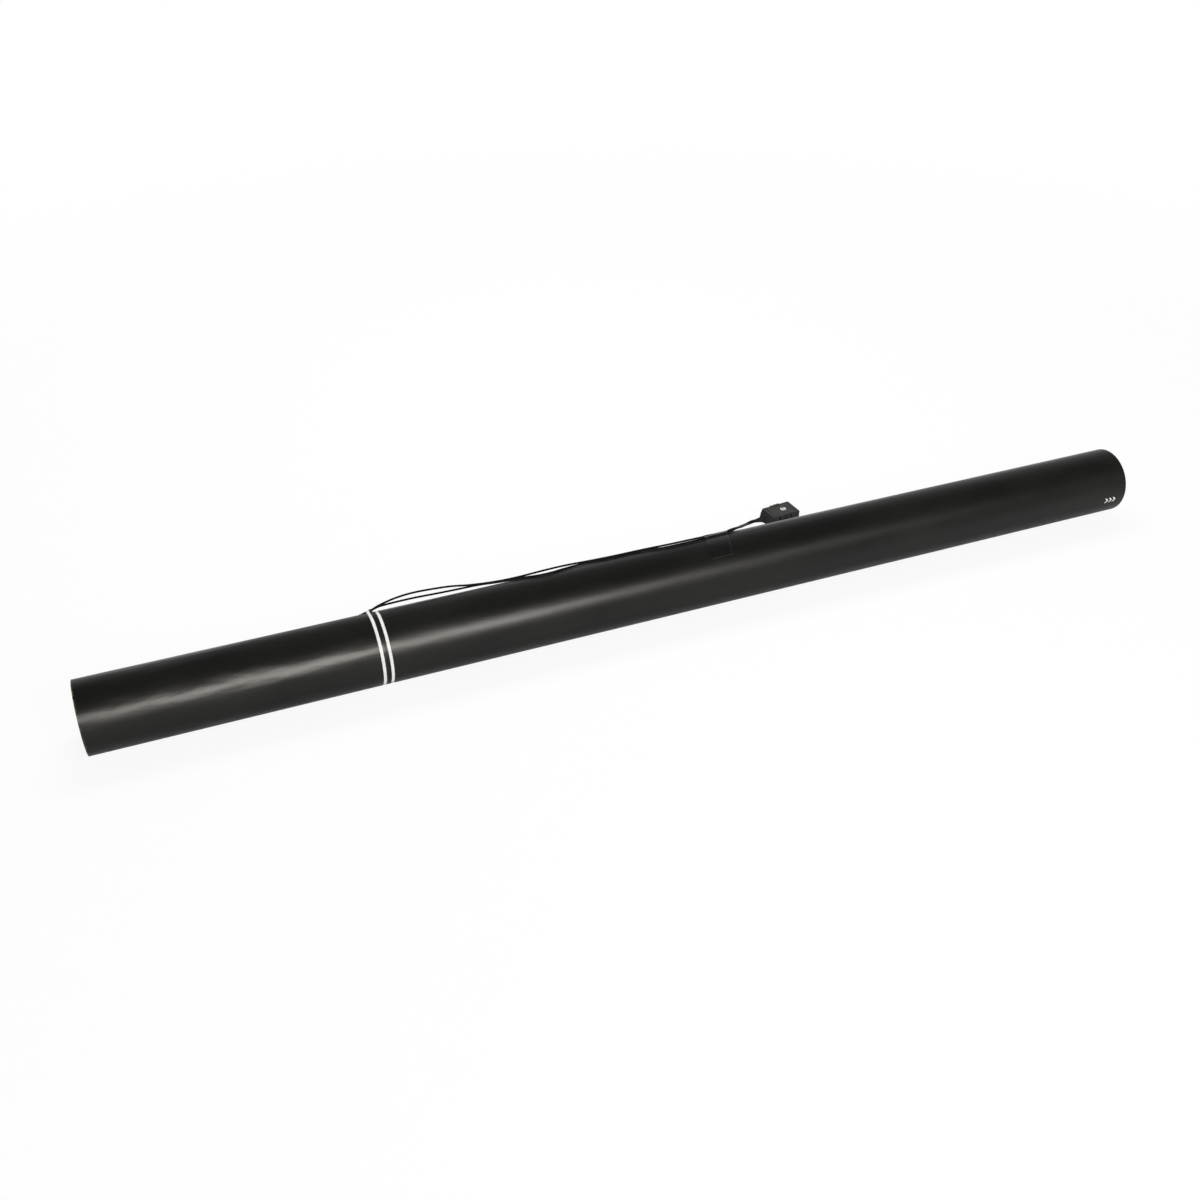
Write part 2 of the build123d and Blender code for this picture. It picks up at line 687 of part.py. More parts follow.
SOCKET_X = CONNECTOR_LENGTH - SOCKET_DEPTH
PIN_WALL_X = SOCKET_X - PIN_WALL_T
PIN_Z = CONNECTOR_H / 2
SCREW_X = SOCKET_X - PIN_WALL_T / 2
HEAD_SEAT_Z = CONNECTOR_H - SCREW_HEAD_T


def connector_outside():
    body = block(0, CONNECTOR_LENGTH, -CONNECTOR_W / 2, CONNECTOR_W / 2, 0, CONNECTOR_H)
    corners = body.edges().filter_by(Axis.Z) + body.faces().sort_by(Axis.Z)[-1].edges()
    body = chamfer(corners, CONNECTOR_CHAMFER)
    root_h = CONNECTOR_H - 2 * CONNECTOR_CHAMFER
    root_w = CONNECTOR_W - 2 * CONNECTOR_CHAMFER
    root = Pos(0, 0, CONNECTOR_H / 2) * Rot(0, -90, 0) * Rectangle(root_h, root_w)
    tip = Pos(-NOSE_LENGTH, 0, PART_LINE_Z) * Rot(0, -90, 0) * Rectangle(NOSE_H, NOSE_W)
    shell = body + loft([root.face(), tip.face()], ruled=True)
    for i in range(GRIP_COUNT):
        x = GRIP_START + i * GRIP_PITCH
        for side in (-1, 1):
            groove = Box(GRIP_W, 2 * GRIP_DEPTH, 2 * CONNECTOR_H)
            shell -= Pos(x, side * CONNECTOR_W / 2, CONNECTOR_H / 2) * groove
    return shell


def connector_hollows():
    """The socket, the wiring space, the pin holes, the sleeve's seat and the screw's hole and recess."""
    half = SOCKET_W / 2
    floor_z = PIN_Z - SOCKET_H / 2
    hollows = [
        block(SOCKET_X, CONNECTOR_LENGTH + 1, -half, half, floor_z, floor_z + SOCKET_H),
        block(SHELL_WALL, PIN_WALL_X, -half, half, SHELL_WALL, CONNECTOR_H - SHELL_WALL),
        Pos(0, 0, PART_LINE_Z) * rod(-NOSE_LENGTH - 1, SHELL_WALL + 1, SLEEVE_D / 2 + HOLE_FIT),
        stud(SCREW_X, 0, HEAD_SEAT_Z - SCREW_LENGTH - FIT, CONNECTOR_H, SCREW_D / 2 + HOLE_FIT),
        stud(SCREW_X, 0, HEAD_SEAT_Z, CONNECTOR_H + 1, SCREW_HEAD_D / 2 + RUN),
    ]
    for side in (-1, 1):
        pin_hole = rod(PIN_WALL_X - 1, SOCKET_X + 1, PIN_D / 2 + HOLE_FIT)
        hollows.append(Pos(0, side * PIN_PITCH / 2, PIN_Z) * pin_hole)
    return hollows


def connector_half(z0, z1):
    slice_box = block(-NOSE_LENGTH - 1, CONNECTOR_LENGTH + 1, -CONNECTOR_W, CONNECTOR_W, z0, z1)
    half = connector_outside() & slice_box
    for hollow in connector_hollows():
        half -= hollow
    return placed(half)


def connector_body():
    return connector_half(0, PART_LINE_Z)


def connector_cover():
    return connector_half(PART_LINE_Z, CONNECTOR_H)


def connector_screw():
    shank = stud(SCREW_X, 0, HEAD_SEAT_Z - SCREW_LENGTH, HEAD_SEAT_Z, SCREW_D / 2)
    head = stud(SCREW_X, 0, HEAD_SEAT_Z, CONNECTOR_H, SCREW_HEAD_D / 2)
    slot = Pos(SCREW_X, 0, CONNECTOR_H) * Box(SCREW_SLOT_W, 2 * SCREW_HEAD_D, 2 * SCREW_SLOT_DEPTH)
    return placed(shank + head - slot)


def connector_pins():
    pins = []
    tip = CONNECTOR_LENGTH - PIN_RECESS
    for side in (-1, 1):
        pin = rod(PIN_WALL_X - PIN_TAIL, tip, PIN_D / 2)
        pin += rod(PIN_WALL_X - PIN_COLLAR_T, PIN_WALL_X, PIN_COLLAR_D / 2)
        pins.append(placed(Pos(0, side * PIN_PITCH / 2, PIN_Z) * pin))
    return pins


def lead_sleeve():
    sleeve = rod(-NOSE_LENGTH - SLEEVE_PROUD, SHELL_WALL + SLEEVE_FLANGE_T, SLEEVE_D / 2)
    sleeve += rod(SHELL_WALL, SHELL_WALL + SLEEVE_FLANGE_T, SLEEVE_FLANGE_D / 2)
    for side in (-1, 1):
        y = side * LEAD_PITCH / 2
        sleeve -= Pos(0, y, 0) * rod(-2 * NOSE_LENGTH, 2 * SHELL_WALL, LEAD_R + HOLE_FIT)
    flange_top = SLEEVE_FLANGE_D / 2
    room = CONNECTOR_H - SHELL_WALL - PART_LINE_Z - FIT
    sleeve &= block(-2 * NOSE_LENGTH, CONNECTOR_LENGTH, -CONNECTOR_W, CONNECTOR_W, -2 * flange_top, room)
    return placed(Pos(0, 0, PART_LINE_Z) * sleeve)


def pin_leads():
    """The lead ends inside the connector, from the mouth of the sleeve to the pins."""
    leads = []
    start = -NOSE_LENGTH - SLEEVE_PROUD
    bend = SHELL_WALL + SLEEVE_FLANGE_T + LEAD_D
    end = PIN_WALL_X - PIN_TAIL
    for side in (-1, 1):
        y0 = side * LEAD_PITCH / 2
        y1 = side * PIN_PITCH / 2
        turn_x = bend + 0.7 * (end - bend)
        points = [(start, y0, PART_LINE_Z), (bend, y0, PART_LINE_Z), (turn_x, y1, PIN_Z), (end, y1, PIN_Z)]
        wire, _ = tube_along(points, LEAD_D, widest_radii(points, 0.4))
        leads.append(placed(wire))
    return leads


def save(name, shape):
    """Write one node: a single solid, or a group of separate ones."""
    if isinstance(shape, list):
        solids = [solid for item in shape for solid in item.solids()]
    else:
        solids = list(shape.solids())
    node = solids[0] if len(solids) == 1 else Compound(children=solids)
    node.label = name
    export_step(node, os.path.join("parts", name + ".step"))


os.makedirs("parts", exist_ok=True)

lead_a, lead_a_path = lead("lead_a", LEAD_A_ROUTE)
lead_b, lead_b_path = lead("lead_b", LEAD_B_ROUTE)
print("least gap between the leads", round(least_gap(lead_a_path, lead_b_path), 2))

NODES = {
    "barrel_tube": barrel_tube(),
    "breech_label": breech_label(),
    "lead_cuff": lead_cuff(),
    "barrel_wrap": barrel_wrap(),
    "exit_grommet": exit_grommet(),
    "breech_plug": breech_plug(),
    "plug_nails": nail_set(),
    "recoil_pad": recoil_pad(),
    "gas_cartridge": gas_cartridge(),
    "cartridge_spacer": cartridge_spacer(),
    "neck_bush": neck_bush(),
    "neck_collar": neck_collar(),
    "release_plug": release_plug(),
    "plug_seal": plug_seal(),
    "fuse_bridle": fuse_bridle(),
    "heater_resistor": heater_resistor(),
    "resistor_wires": resistor_wires(),
    "terminal_board": terminal_board(),
    "board_screws": board_screw_set(),
    "terminals": terminals(),
    "inner_lead_a": inner_lead(1),
    "inner_lead_b": inner_lead(-1),
    "trigger_cage": trigger_cage(),
    "gas_screen": gas_screen(),
    "pusher_wad": pusher_wad(),
    "front_wad": front_wad(),
    "muzzle_cover": muzzle_cover(),
    "retaining_tape": retaining_tape(),
    "lead_a": lead_a,
    "lead_b": lead_b,
    "connector_body": connector_body(),
    "connector_cover": connector_cover(),
    "connector_screw": connector_screw(),
    "connector_pins": connector_pins(),
    "lead_sleeve": lead_sleeve(),
    "pin_leads": pin_leads(),
}
for index in range(PACK_COUNT):
    NODES[f"confetti_pack_{index + 1:02d}"] = confetti_pack(index)

for name, shape in NODES.items():
    save(name, shape)
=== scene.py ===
import math
import random

import bpy
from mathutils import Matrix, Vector, noise


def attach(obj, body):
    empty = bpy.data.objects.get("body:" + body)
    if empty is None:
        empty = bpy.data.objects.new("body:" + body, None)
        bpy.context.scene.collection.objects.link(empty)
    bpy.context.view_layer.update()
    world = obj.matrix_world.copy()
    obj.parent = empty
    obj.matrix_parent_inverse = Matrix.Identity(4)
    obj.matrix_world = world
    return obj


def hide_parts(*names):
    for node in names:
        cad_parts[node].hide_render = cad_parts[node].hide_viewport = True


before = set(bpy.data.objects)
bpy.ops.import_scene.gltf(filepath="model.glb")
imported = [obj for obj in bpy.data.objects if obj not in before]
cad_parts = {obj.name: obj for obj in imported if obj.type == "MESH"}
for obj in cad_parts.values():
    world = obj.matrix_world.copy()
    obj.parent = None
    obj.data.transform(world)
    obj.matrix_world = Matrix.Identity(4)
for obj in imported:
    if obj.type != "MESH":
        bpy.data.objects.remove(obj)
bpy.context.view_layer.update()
scene = bpy.context.scene
scene.view_settings.view_transform = "Standard"

# Sizes in millimetres and angles in degrees, as in the part
MM = 0.001
OUTER_R = 25.0
RUN_R = 22.2
FLOOR_Z = -25.0
LABEL_FRONT = 184.0
CUFF_BACK = 184.6
EXIT_X = 193.1
EXIT_ANGLE = 36.0
EXIT_SLOPE = 25.0
EXIT_INSET = 2.4
LEAD_D = 1.4
LEAD_PITCH = 2.0
CONNECTOR = (531.0, 76.03)
CONNECTOR_YAW = 5.8
SLEEVE_MOUTH = -5.0
PART_LINE_Z = 6.8
CONNECTOR_H = 11.0


# Camera, as the photograph was taken: place in metres, and the way it faces

LENS = 38.835
CAMERA_PLACE = (0.07065, -0.7010, 0.5337)
CAMERA_AIM = (0.3057, 0.7561, -0.5787)


def look(obj, target):
    """Turns a camera or lamp to face a point, level with the horizon."""
    obj.rotation_euler = (Vector(target) - obj.location).to_track_quat("-Z", "Y").to_euler()


def add_camera():
    camera = bpy.data.objects.new("camera", bpy.data.cameras.new("camera"))
    camera.data.sensor_width = 36.0
    camera.data.lens = LENS
    camera.data.clip_start = 0.01
    camera.data.clip_end = 60.0
    camera.location = CAMERA_PLACE
    look(camera, camera.location + Vector(CAMERA_AIM))
    scene.collection.objects.link(camera)
    scene.camera = camera


# Leads, on the routes of their solids, with points moved a little to follow the photograph

def polar(x, angle, radius):
    """Point around the barrel: along it, degrees behind the crest, distance from the axis."""
    turn = math.radians(angle)
    return (x, radius * math.sin(turn), radius * math.cos(turn))


def beside(x, angle, lift):
    """Point of a lead's centre line, by its height over the barrel's skin."""
    return polar(x, angle, OUTER_R + lift)


def exit_point(distance, side):
    """Point of a lead straight out of the barrel's wall, on one side of the exit's middle."""
    slope = math.radians(EXIT_SLOPE)
    turn = math.radians(EXIT_ANGLE)
    x = EXIT_X - EXIT_INSET + distance * math.cos(slope)
    y = side * LEAD_PITCH / 2
    z = OUTER_R + distance * math.sin(slope)
    return (x, y * math.cos(turn) + z * math.sin(turn), z * math.cos(turn) - y * math.sin(turn))


def before_sleeve(side, back=0.0):
    """Point of a lead in line with the connector's sleeve, before its mouth."""
    turn = math.radians(CONNECTOR_YAW)
    x = SLEEVE_MOUTH - back
    y = side * LEAD_PITCH / 2
    return (
        CONNECTOR[0] + x * math.cos(turn) - y * math.sin(turn),
        CONNECTOR[1] + x * math.sin(turn) + y * math.cos(turn),
        FLOOR_Z + PART_LINE_Z,
    )


UPPER_ROUTE = [
    exit_point(0, 1),
    exit_point(5.8, 1),
    beside(203, 38.4, 4.4),
    beside(212, 38.8, 6.1),
    beside(223, 39.0, 7.0),
    beside(236, 39.0, 6.6),
    beside(251, 38.8, 5.6),
    beside(261, 38.6, 3.8),
    beside(270, 38.5, 2.8),
    beside(283, 38.3, 1.75),
    beside(299, 38.3, 1.5),
    beside(316, 38.6, 2.2),
    beside(334, 38.6, 2.5),
    beside(352, 38.4, 1.75),
    beside(371, 37.0, 1.3),
    beside(391, 34.5, 1.3),
    beside(400, 34.5, 1.15),
    beside(413, 34.0, 0.85),
    beside(432, 33.0, 0.78),
    beside(442, 30.0, 0.76),
    beside(450, 27.0, 0.76),
    beside(459, 28.0, 0.8),
    (466.1, 16.5, 21.2),
    (475.7, 24.6, 15.5),
    (487.7, 40.9, 4.7),
    (499.3, 56.5, -6.0),
    (508.3, 68.6, -13.9),
    (515.6, 74.0, -16.4),
    before_sleeve(1, 4.5),
    before_sleeve(1),
]
LOWER_ROUTE = [
    exit_point(0, -1),
    exit_point(5.8, -1),
    beside(203.5, 33.8, 3.0),
    beside(213, 34.0, 3.2),
    beside(225, 34.3, 3.25),
    beside(240, 34.6, 2.7),
    beside(256, 34.6, 2.4),
    beside(270, 34.4, 2.25),
    beside(279, 34.0, 1.4),
    beside(288, 31.0, 0.85),
    beside(300, 26.0, 0.8),
    beside(311, 17.5, 0.78),
    beside(321, 17.5, 0.78),
    beside(332, 24.5, 0.8),
    beside(343, 29.5, 0.85),
    beside(353, 28.0, 0.8),
    beside(364, 25.5, 0.78),
    beside(374, 25.5, 0.78),
    beside(386, 26.0, 0.8),
    beside(397, 22.0, 0.8),
    beside(408, 15.0, 0.78),
    beside(422, 15.0, 0.76),
    beside(435, 15.5, 0.76),
    beside(444, 19.0, 0.76),
    beside(452, 20.0, 0.76),
    beside(461, 21.0, 0.8),
    (469.0, 14.5, 22.3),
    (477.4, 23.5, 15.9),
    (489.1, 39.8, 4.7),
    (500.6, 55.6, -5.9),
    (509.3, 67.4, -14.2),
    (516.2, 72.5, -16.9),
    before_sleeve(-1, 4.5),
    before_sleeve(-1),
]


def route_curve(name, route):
    """A smooth curve with the route's points as its control points."""
    data = bpy.data.curves.new(name, "CURVE")
    data.dimensions = "3D"
    data.resolution_u = 16
    spline = data.splines.new("NURBS")
    spline.points.add(len(route) - 1)
    for point, place in zip(spline.points, route):
        point.co = (*(c * MM for c in place), 1.0)
    spline.order_u = 3
    spline.use_endpoint_u = True
    return data


def add_lead(name, route, node):
    data = route_curve(name, route)
    data.bevel_depth = LEAD_D / 2 * MM
    data.bevel_resolution = 5
    data.use_fill_caps = True
    lead = bpy.data.objects.new(name, data)
    scene.collection.objects.link(lead)
    data.materials.append(FINISH["lead_sheath"])
    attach(lead, "barrel")
    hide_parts(node)


# Materials. Their texture space is the object's own frame, in metres

def paint(red, green, blue):
    """A colour given as screen values from 0 to 255."""
    linear = []
    for value in (red, green, blue):
        v = value / 255
        linear.append(v / 12.92 if v <= 0.04045 else ((v + 0.055) / 1.055) ** 2.4)
    return (*linear, 1.0)


class Finish:
    """A material on one Principled shader."""

    def __init__(self, name, **sockets):
        self.material = bpy.data.materials.new(name)
        self.material.use_nodes = True
        self.tree = self.material.node_tree
        self.shader = self.tree.nodes["Principled BSDF"]
        self.place = self.node("TexCoord").outputs["Object"]
        axes = self.node("SeparateXYZ", {0: self.place})
        self.x, self.y, self.z = axes.outputs
        for socket, value in sockets.items():
            self.set(self.shader.inputs[socket.replace("_", " ")], value)

    def set(self, socket, value):
        if isinstance(value, bpy.types.NodeSocket):
            self.tree.links.new(value, socket)
        else:
            socket.default_value = value

    def node(self, kind, inputs=None, **settings):
        made = self.tree.nodes.new("ShaderNode" + kind)
        for key, value in settings.items():
            setattr(made, key, value)
        for socket, value in (inputs or {}).items():
            self.set(made.inputs[socket], value)
        return made

    def math(self, operation, a, b=0.0, c=0.0):
        return self.node("Math", {0: a, 1: b, 2: c}, operation=operation).outputs[0]

    def noise(self, scale, detail=3.0, stretch=(1.0, 1.0, 1.0)):
        spot = self.node(
            "VectorMath",
            {0: self.place, 1: [scale * s for s in stretch]},
            operation="MULTIPLY",
        ).outputs[0]
        return self.node("TexNoise", {"Vector": spot, "Scale": 1.0, "Detail": detail}).outputs[0]

    def remap(self, value, low, high, to_low, to_high):
        return self.node(
            "MapRange",
            {"Value": value, "From Min": low, "From Max": high, "To Min": to_low, "To Max": to_high},
            interpolation_type="SMOOTHSTEP",
        ).outputs[0]

    def mix(self, share, first, second):
        made = self.node("Mix", data_type="RGBA")
        for index, value in ((0, share), (6, first), (7, second)):
            self.set(made.inputs[index], value)
        return made.outputs[2]

    def band(self, value, low, high):
        """1 from low to high, else 0."""
        return self.math("COMPARE", value, (low + high) / 2, (high - low) / 2)

    def radius(self):
        """Distance from the barrel's axis."""
        z_part = self.math("MULTIPLY", self.z, self.z)
        return self.math("SQRT", self.math("MULTIPLY_ADD", self.y, self.y, z_part))

    def arc(self):
        """Way round the barrel from its crest."""
        return self.math("MULTIPLY", self.math("ARCTAN2", self.y, self.z), OUTER_R * MM)

    def edges(self):
        """1 on outer edges, from the surface's own curvature."""
        return self.remap(self.node("NewGeometry").outputs["Pointiness"], 0.52, 0.62, 0.0, 1.0)

    def color(self, value):
        self.set(self.shader.inputs["Base Color"], value)

    def rough(self, value):
        self.set(self.shader.inputs["Roughness"], value)

    def relief(self, *layers):
        """Bumps, each as height and depth in millimetres."""
        normal = None
        for height, depth in layers:
            bump = self.node("Bump", {"Height": height, "Distance": depth * MM, "Strength": 1.0})
            if normal:
                self.set(bump.inputs["Normal"], normal)
            normal = bump.outputs[0]
        self.set(self.shader.inputs["Normal"], normal)


RINGS = ((0.18935, 0.1914), (0.19485, 0.19685))
CHEVRON_TIPS = (0.7844, 0.7880, 0.7916)
CHEVRON_ARC = -0.0421
CHEVRON_STROKE = 0.0015
CHEVRON_HALF = 0.0022
CHEVRON_SWEEP = 0.86


def black_wrap():
    """Printed black film on the barrel: two white rings and three white chevrons that point to the muzzle."""
    f = Finish("black_wrap", Specular_IOR_Level=0.21)
    mottle = f.noise(28.0, 4.0, (0.5, 1.0, 1.0))
    fibre = f.noise(1500.0, 2.0, (0.35, 1.0, 1.0))
    film = f.noise(240.0, 2.0, (0.6, 1.0, 1.0))
    give = f.remap(f.x, 0.15, 0.25, 1.0, 0.3)
    wave = f.math("MULTIPLY", f.noise(42.0, 1.5, (0.45, 1.0, 1.0)), give)
    ripple = f.math("MULTIPLY", f.noise(125.0, 2.0, (0.3, 1.0, 1.0)), give)
    drift = f.remap(f.noise(2600.0, 1.0), 0.0, 1.0, -0.00006, 0.00006)
    along = f.math("ADD", f.x, drift)
    rings = f.math("MAXIMUM", *(f.band(along, low, high) for low, high in RINGS))
    rise = f.math("ABSOLUTE", f.math("ADD", f.arc(), -CHEVRON_ARC))
    swept = f.math("MULTIPLY_ADD", rise, CHEVRON_SWEEP, along)
    strokes = 0.0
    for tip in CHEVRON_TIPS:
        strokes = f.math("MAXIMUM", strokes, f.band(swept, tip - CHEVRON_STROKE, tip))
    chevrons = f.math("MULTIPLY", strokes, f.math("LESS_THAN", rise, CHEVRON_HALF))
    print_ = f.math("MAXIMUM", rings, chevrons)
    rim = f.remap(f.x, 0.0, 0.0013, 1.0, 0.0)
    chips = f.remap(f.noise(700.0, 3.0), 0.42, 0.6, 0.0, 1.0)
    worn = f.math("MULTIPLY", rim, chips)
    black = f.mix(f.remap(mottle, 0.3, 0.7, 0.0, 1.0), paint(17, 17, 16), paint(22, 22, 20))
    white = f.mix(f.remap(fibre, 0.35, 0.7, 0.0, 1.0), paint(236, 236, 233), paint(220, 220, 216))
    f.color(f.mix(worn, f.mix(print_, black, white), paint(112, 100, 70)))
    satin = f.remap(mottle, 0.25, 0.75, 0.32, 0.39)
    f.rough(f.math("MAXIMUM", satin, f.math("MULTIPLY", print_, 0.45)))
    f.relief((wave, 1.7), (ripple, 0.32), (film, 0.014), (fibre, 0.004))
    return f.material


def card():
    """Spiral-wound grey-brown board: layers on the cut ends, black liner outside."""
    layer, liner_r = 0.00042, 0.02455
    f = Finish("card", Specular_IOR_Level=0.2)
    r = f.radius()
    layers = f.math("SINE", f.math("MULTIPLY", r, 2 * math.pi / layer))
    fibre = f.noise(1600.0, 3.0, (0.4, 1.0, 1.0))
    patch = f.noise(120.0, 3.0)
    tan = f.mix(f.remap(layers, -1.0, 1.0, 0.0, 1.0), paint(150, 126, 92), paint(178, 154, 117))
    tan = f.mix(f.remap(fibre, 0.3, 0.75, 0.0, 0.6), tan, paint(118, 100, 74))
    soot = f.remap(patch, 0.4, 0.75, 0.0, 0.35)
    tan = f.mix(soot, tan, paint(70, 60, 48))
    outside = f.math("GREATER_THAN", r, liner_r)
    f.color(f.mix(outside, tan, paint(24, 24, 24)))
    f.rough(f.remap(fibre, 0.2, 0.8, 0.75, 0.92))
    f.relief((layers, 0.02), (fibre, 0.03))
    return f.material


def black_tape():
    """Black cloth-backed tape: fine weave under a dull film."""
    warp_pitch, weft_pitch = 0.00062, 0.00055
    f = Finish("black_tape", Specular_IOR_Level=0.42)
    warp = f.math("SINE", f.math("MULTIPLY", f.x, 2 * math.pi / warp_pitch))
    weft = f.math("SINE", f.math("MULTIPLY", f.arc(), 2 * math.pi / weft_pitch))
    weave = f.math("MULTIPLY", warp, weft)
    smear = f.noise(170.0, 4.0)
    # Specks of dust on the tape
    dust_and_top_light = f.noise(1900.0, 2.0)
    black = f.mix(f.remap(smear, 0.3, 0.7, 0.0, 1.0), paint(9, 9, 8), paint(13, 13, 12))
    f.color(f.mix(f.remap(dust_and_top_light, 0.66, 0.78, 0.0, 0.3), black, paint(42, 41, 38)))
    f.rough(f.remap(smear, 0.25, 0.75, 0.26, 0.34))
    f.relief((smear, 0.05), (weave, 0.012))
    return f.material


def moulded(name, color, roughness, grain=2600.0, level=0.4):
    """Moulded plastic or rubber: fine spark-eroded grain, outer edges paler and a little smoother."""
    f = Finish(name, Specular_IOR_Level=level)
    fine = f.noise(grain, 2.0)
    cloud = f.noise(150.0, 3.0)
    edge = f.edges()
    dark = tuple(0.8 * c for c in color[:3]) + (1.0,)
    pale = tuple(min(1.0, 1.5 * c + 0.01) for c in color[:3]) + (1.0,)
    shade = f.mix(f.remap(cloud, 0.3, 0.7, 0.0, 1.0), dark, color)
    f.color(f.mix(f.math("MULTIPLY", edge, 0.5), shade, pale))
    satin = f.remap(cloud, 0.25, 0.75, roughness - 0.05, roughness + 0.06)
    f.rough(f.math("MULTIPLY_ADD", edge, -0.08, satin))
    f.relief((fine, 0.012))
    return f.material


def connector_shell():
    """Black plastic of the connector, its top face painted lighter as if lit from above, with a groove across
    it near each end painted darker as shade, and a painted highlight on the lip by the front groove.
    """
    f = Finish("connector_plastic", Specular_IOR_Level=0.4)
    fine = f.noise(3000.0, 2.0)
    cloud = f.noise(150.0, 3.0)
    turn = math.radians(CONNECTOR_YAW)
    start = CONNECTOR[0] * MM * math.cos(turn) + CONNECTOR[1] * MM * math.sin(turn)
    along = f.math("MULTIPLY_ADD", f.x, math.cos(turn), f.math("MULTIPLY", f.y, math.sin(turn)))
    front_groove = f.band(along, start + 0.0022, start + 0.0030)
    back_groove = f.band(along, start + 0.0220, start + 0.0225)
    groove = f.math("MAXIMUM", front_groove, back_groove)
    # Painted highlight: a lighter band along the lip by the front groove, where a ridge would catch the light
    painted_lip_highlight = f.math("MULTIPLY", f.band(along, start + 0.0030, start + 0.0037), 0.6)
    black = f.mix(f.remap(cloud, 0.3, 0.7, 0.0, 1.0), paint(19, 19, 19), paint(25, 25, 25))
    top = (FLOOR_Z + CONNECTOR_H) * MM
    # Painted light: the top face is painted lighter, as light from above falls on it, speckled by fine noise
    dust_and_top_light = f.remap(f.z, top - 0.0006, top - 0.0001, 0.0, 0.9)
    black = f.mix(f.math("MULTIPLY", dust_and_top_light, f.remap(fine, 0.2, 0.6, 0.75, 1.0)), black, paint(60, 60, 59))
    # The grooves are painted darker, as painted shade in them
    f.color(f.mix(groove, f.mix(painted_lip_highlight, black, paint(70, 70, 69)), paint(14, 14, 14)))
    f.rough(f.remap(cloud, 0.25, 0.75, 0.46, 0.57))
    f.relief((groove, -0.4), (fine, 0.012))
    return f.material


def metal(name, color, roughness, stretch=(1.0, 1.0, 1.0)):
    """Bare metal: drawn or turned marks, slight tarnish, bright edges."""
    f = Finish(name, Metallic=1.0)
    marks = f.noise(900.0, 3.0, stretch)
    tarnish = f.noise(220.0, 4.0)
    dull = tuple(0.62 * c for c in color[:3]) + (1.0,)
    bright = f.math("MULTIPLY", f.edges(), 0.5)
    shade = f.math("SUBTRACT", f.remap(tarnish, 0.4, 0.75, 0.0, 0.75), bright)
    f.color(f.mix(f.math("MAXIMUM", shade, 0.0), color, dull))
    f.rough(f.remap(marks, 0.25, 0.75, roughness - 0.07, roughness + 0.09))
    f.relief((marks, 0.006))
    return f.material


def fibrous(name, color, second, grain, depth, roughness=0.9, stretch=(1.0, 1.0, 1.0)):
    """Paper, felt, foam or board: fibres of two shades."""
    f = Finish(name, Specular_IOR_Level=0.2)
    fibre = f.noise(grain, 4.0, stretch)
    cloud = f.noise(90.0, 3.0)
    island = f.node("NewGeometry").outputs["Random Per Island"]
    share = f.math("MULTIPLY_ADD", island, 0.45, f.remap(fibre, 0.3, 0.7, 0.0, 0.45))
    share = f.math("ADD", share, f.remap(cloud, 0.3, 0.7, 0.0, 0.15))
    f.color(f.mix(share, color, second))
    f.rough(f.remap(fibre, 0.25, 0.75, roughness - 0.08, roughness + 0.05))
    f.relief((fibre, depth))
    return f.material


def sheath():
    """Black PVC over single-core wire: slight bloom and die marks along it."""
    f = Finish("lead_sheath", Specular_IOR_Level=0.04)
    bloom = f.noise(260.0, 3.0)
    speck = f.noise(3200.0, 2.0)
    f.color(f.mix(f.remap(bloom, 0.35, 0.7, 0.0, 1.0), paint(7, 7, 7), paint(13, 13, 13)))
    f.rough(f.remap(bloom, 0.25, 0.75, 0.42, 0.55))
    f.relief((speck, 0.006))
    return f.material


FINISH = {
    "black_wrap": black_wrap(),
    "card": card(),
    "black_tape": black_tape(),
    "lead_sheath": sheath(),
    "connector_plastic": connector_shell(),
    "bright_steel": metal("bright_steel", (0.78, 0.78, 0.76, 1.0), 0.21),
    "steel": metal("steel", (0.56, 0.56, 0.55, 1.0), 0.34),
    "brass": metal("brass", (0.72, 0.53, 0.24, 1.0), 0.27),
    "cartridge_metal": metal("cartridge_metal", (0.60, 0.61, 0.62, 1.0), 0.3, (0.15, 1.0, 1.0)),
    "black_rubber": moulded("black_rubber", paint(30, 30, 30), 0.72, 1600.0, 0.3),
    "black_plastic": moulded("black_plastic", paint(34, 34, 35), 0.46),
    "grey_plastic": moulded("grey_plastic", paint(112, 113, 115), 0.5),
    "white_plastic": moulded("white_plastic", paint(222, 221, 214), 0.45),
    "nylon_line": moulded("nylon_line", paint(205, 207, 198), 0.3, 2200.0, 0.5),
    "ceramic": moulded("ceramic", paint(202, 190, 164), 0.55, 1800.0),
    "fibre_board": fibrous(
        "fibre_board", paint(136, 92, 52), paint(102, 66, 36), 1100.0, 0.02, 0.62, (0.3, 1.0, 1.0)
    ),
    "foam": fibrous("foam", paint(72, 72, 74), paint(44, 44, 46), 900.0, 0.35, 0.92),
    "felt": fibrous("felt", paint(176, 172, 162), paint(120, 116, 108), 1400.0, 0.25, 0.93, (0.5, 1.0, 1.0)),
    "white_tissue": fibrous("white_tissue", paint(240, 239, 233), paint(214, 212, 204), 1200.0, 0.06, 0.85),
    "black_paper": fibrous("black_paper", paint(26, 26, 27), paint(44, 43, 42), 1300.0, 0.04, 0.78),
    "blue_tissue": fibrous("blue_tissue", paint(42, 64, 140), paint(26, 40, 96), 1300.0, 0.05, 0.7),
}


def dress_nodes():
    """Gives each CAD node the finish that its slot names."""
    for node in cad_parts.values():
        for held in node.material_slots:
            held.material = FINISH[held.material.name.split(".")[0]]


# Pieces that stand for the soft solids, and the boot and latch rail, which are in the scene alone

